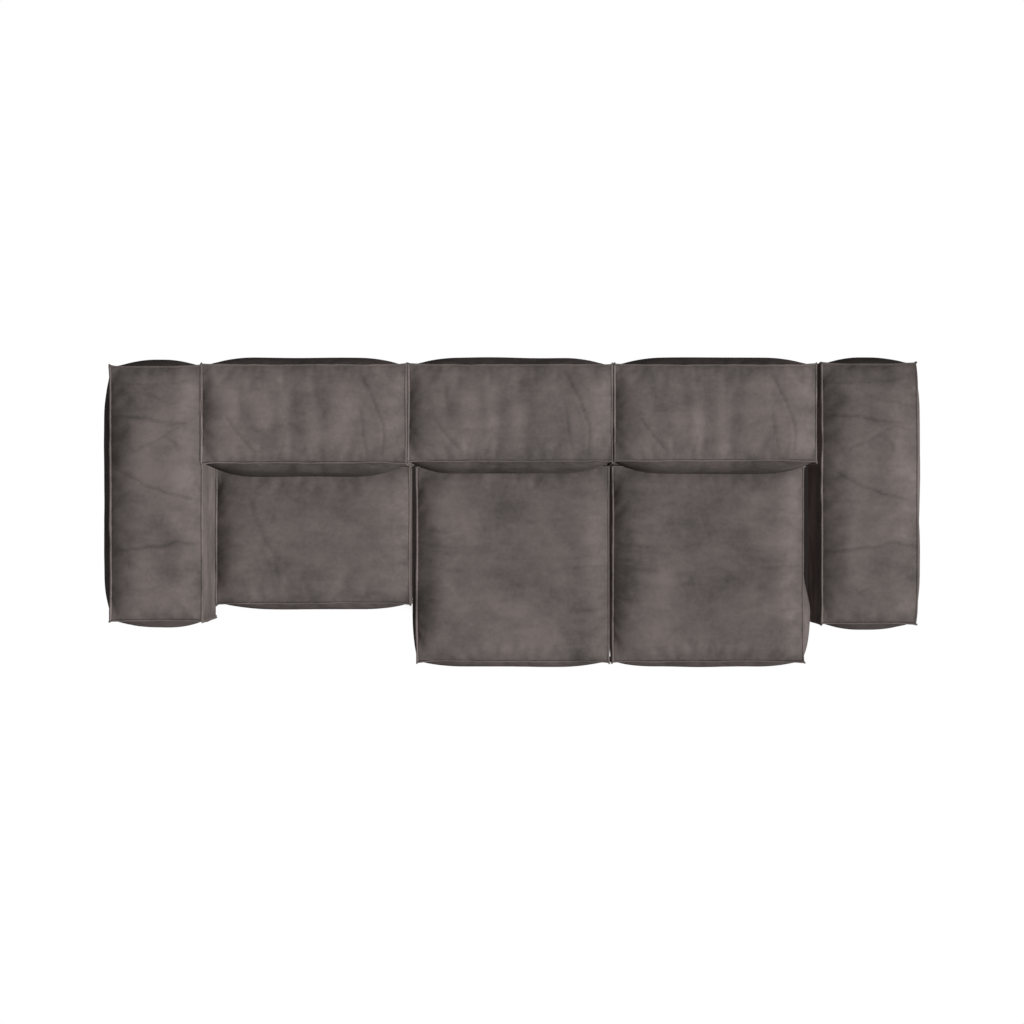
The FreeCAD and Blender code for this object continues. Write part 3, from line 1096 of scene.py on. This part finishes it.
def stitch_nodes():
    """Stitches on edges, with inputs for the step, length and thickness of a stitch."""
    tree = bpy.data.node_groups.new("stitches", "GeometryNodeTree")
    tree.interface.new_socket("Geometry", in_out="INPUT", socket_type="NodeSocketGeometry")
    for label in stitch_sizes:
        tree.interface.new_socket(label, in_out="INPUT", socket_type="NodeSocketFloat")
    tree.interface.new_socket("Finish", in_out="INPUT", socket_type="NodeSocketMaterial")
    tree.interface.new_socket("Geometry", in_out="OUTPUT", socket_type="NodeSocketGeometry")
    entry = tree.nodes.new("NodeGroupInput")
    leave = tree.nodes.new("NodeGroupOutput")
    curve = tree.nodes.new("GeometryNodeMeshToCurve")
    dots = tree.nodes.new("GeometryNodeCurveToPoints")
    dots.mode = "LENGTH"
    bead = add_node(tree, "GeometryNodeMeshUVSphere", Segments=bead_sides, Rings=bead_rings, Radius=1.0)
    shape = tree.nodes.new("ShaderNodeCombineXYZ")
    turn = tree.nodes.new("FunctionNodeAlignRotationToVector")
    turn.axis = "X"
    spread = tree.nodes.new("GeometryNodeInstanceOnPoints")
    real = tree.nodes.new("GeometryNodeRealizeInstances")
    paint = tree.nodes.new("GeometryNodeSetMaterial")
    for source, value, target, socket in (
            (entry, "Geometry", curve, 0), (curve, 0, dots, "Curve"), (entry, "Step", dots, "Length"),
            (dots, "Points", spread, "Points"), (dots, "Tangent", turn, "Vector"),
            (turn, 0, spread, "Rotation"), (bead, "Mesh", spread, "Instance"),
            (entry, "Half length", shape, 0), (entry, "Half thickness", shape, 1),
            (entry, "Half thickness", shape, 2), (shape, 0, spread, "Scale"), (spread, 0, real, 0),
            (real, 0, paint, "Geometry"), (entry, "Finish", paint, "Material"), (paint, 0, leave, 0)):
        link(tree, source.outputs[value], target.inputs[socket])
    return tree


def stitched(name, lines, tree):
    edges, start = [], 0
    for line in lines:
        edges += [(start + i, start + i + 1) for i in range(len(line) - 1)]
        start += len(line)
    mesh = bpy.data.meshes.new(name + "_lines")
    mesh.from_pydata(np.concatenate(lines).tolist(), edges, [])
    obj = placed(mesh.name, mesh)
    sewing = obj.modifiers.new("stitches", "NODES")
    sewing.node_group = tree
    values = dict(stitch_sizes, Finish=thread.material)
    for socket in tree.interface.items_tree:
        if socket.in_out == "INPUT" and socket.name in values:
            sewing[socket.identifier] = values[socket.name]
    made = applied(obj)
    made.name = name
    smooth(made)
    return placed(name, made)


stitch_tree = stitch_nodes()
bead_faces = bead_sides * bead_rings
stitches = {}
for body in sorted(set(body_of.values())):
    blocks = [block for block in block_kinds if body_of[block] == body]
    lines = [line for block in blocks for line in thread_paths[block]]
    stitches[body] = stitched(body + "_stitches", lines, stitch_tree)
print("stitches:", {body: len(sewn.data.polygons) // bead_faces for body, sewn in stitches.items()})

# %% [markdown]
# ## Hidden and lower parts
# Under the covers are cut foam, timber boards, plywood panels and elastic webbing; below them black
# dust cloth, plastic feet and the steel that holds the blocks together. Their shapes come from the CAD
# frame as they are, and each gets the finish of its own material.

# %% Foam, cloth and webbing
foam = new_finish("cut_foam", 0.95, specular=0.1)
cells = pattern(foam, "Voronoi", "Distance", Scale=500.0)
tone = weighted(foam, (cells, 0.5), (noise(foam, 14.0), 0.5))
coloured(foam, tone, (0.2, (0.62, 0.57, 0.42)), (0.7, (0.80, 0.76, 0.62)))
bumped(foam, cells, 0.5, 0.0010)

dust = new_finish("black_dust_cloth", 0.95, specular=0.1)
slanted = stretched(dust, (240.0, 900.0, 240.0), (0.0, 0.0, 0.7))
fibres = noise(dust, place=slanted, detail=5.0, roughness=0.65)
dimples = pattern(dust, "Voronoi", "Distance", Scale=330.0)
tone = weighted(dust, (fibres, 0.6), (dimples, 0.5))
coloured(dust, tone, (0.3, (0.010, 0.010, 0.011)), (0.8, (0.035, 0.034, 0.034)))
bumped(dust, tone, 0.5, 0.0006)

webbing = new_finish("elastic_webbing", 0.9, specular=0.15)
slanted = stretched(webbing, (1.0, 1.0, 1.0), (0.0, 0.0, 0.785))
ribs = pattern(webbing, "Wave", "Fac", slanted, Scale=160.0, Distortion=0.6, Detail=2.0)
tone = weighted(webbing, (ribs, 0.6), (noise(webbing, 40.0), 0.4))
coloured(webbing, tone, (0.2, (0.030, 0.028, 0.026)), (0.8, (0.095, 0.088, 0.080)))
bumped(webbing, ribs, 0.5, 0.0008)
print("foam, dust cloth and webbing finishes ready")

# %% Timber, plywood, plastic and steel
timber = new_finish("sawn_timber", 0.75)
along_board = stretched(timber, (1.0, 1.3, 6.0), (0.05, 0.03, 0.1))
grain = pattern(timber, "Wave", "Fac", along_board, Scale=9.0, Distortion=7.0, Detail=3.0, Detail_Scale=1.4)
pores = noise(timber, place=stretched(timber, (60.0, 60.0, 700.0)))
tone = weighted(timber, (grain, 0.65), (pores, 0.35))
coloured(timber, tone, (0.15, (0.42, 0.27, 0.14)), (0.85, (0.66, 0.49, 0.30)))
bumped(timber, tone, 0.3, 0.0008)

plywood = new_finish("birch_plywood", 0.6)
along_sheet = stretched(plywood, (1.0, 0.7, 3.0))
veneer = pattern(plywood, "Wave", "Fac", along_sheet, Scale=4.0, Distortion=9.0, Detail=3.0)
flecks = noise(plywood, place=stretched(plywood, (300.0, 40.0, 300.0)))
tone = weighted(plywood, (veneer, 0.6), (flecks, 0.4))
coloured(plywood, tone, (0.2, (0.58, 0.42, 0.26)), (0.8, (0.76, 0.61, 0.42)))
bumped(plywood, tone, 0.2, 0.0005)

plastic = new_finish("moulded_foot", 0.45, specular=0.4)
spark = noise(plastic, 900.0, detail=3.0)
scuff = noise(plastic, 60.0, detail=5.0, roughness=0.65)
tone = weighted(plastic, (spark, 0.4), (scuff, 0.6))
coloured(plastic, tone, (0.3, (0.008, 0.008, 0.009)), (0.75, (0.030, 0.029, 0.028)))
bumped(plastic, spark, 0.35, 0.0004)

steel = new_finish("zinc_plated_steel", 0.38, metallic=1.0)
brushed = noise(steel, place=stretched(steel, (30.0, 800.0, 800.0)))
stain = noise(steel, 25.0, detail=5.0, roughness=0.6)
tone = weighted(steel, (brushed, 0.5), (stain, 0.5))
coloured(steel, tone, (0.3, (0.40, 0.40, 0.39)), (0.75, (0.62, 0.61, 0.58)))
bumped(steel, brushed, 0.25, 0.0003)
print("timber, plywood, plastic and steel finishes ready")

# %% Finishes on the CAD nodes
finish_of = {
    "foam": foam, "panels": plywood, "frame": timber, "webbing": webbing, "dust_cloth": dust,
    "feet": plastic, "sockets": steel, "tongues": steel, "link_plates": steel,
}


def dressed(obj, material):
    obj.data.materials.clear()
    obj.data.materials.append(material)


finished = 0
for name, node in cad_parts.items():
    for ending, finish in finish_of.items():
        if name.endswith("_" + ending):
            dressed(node, finish.material)
            finished += 1
print("finished CAD nodes:", finished)

# %% [markdown]
# ## Put the pieces on their bodies
# The arms and backs are bolted together and stay; each seat block slides forward on its own. Covers,
# flanges and stitches ride on the body of their block, and each cover stands for the CAD solid that it
# replaces.

# %% Ride and replace
for block, cover in covers.items():
    hide = leathers[block.split("_")[0]]
    for piece in (cover, flanges[block]):
        dressed(piece, hide)
        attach(piece, body_of[block])
    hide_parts(block + "_cover")
for body, sewn in stitches.items():
    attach(sewn, body)
print("pieces on bodies:", 2 * len(covers) + len(stitches))
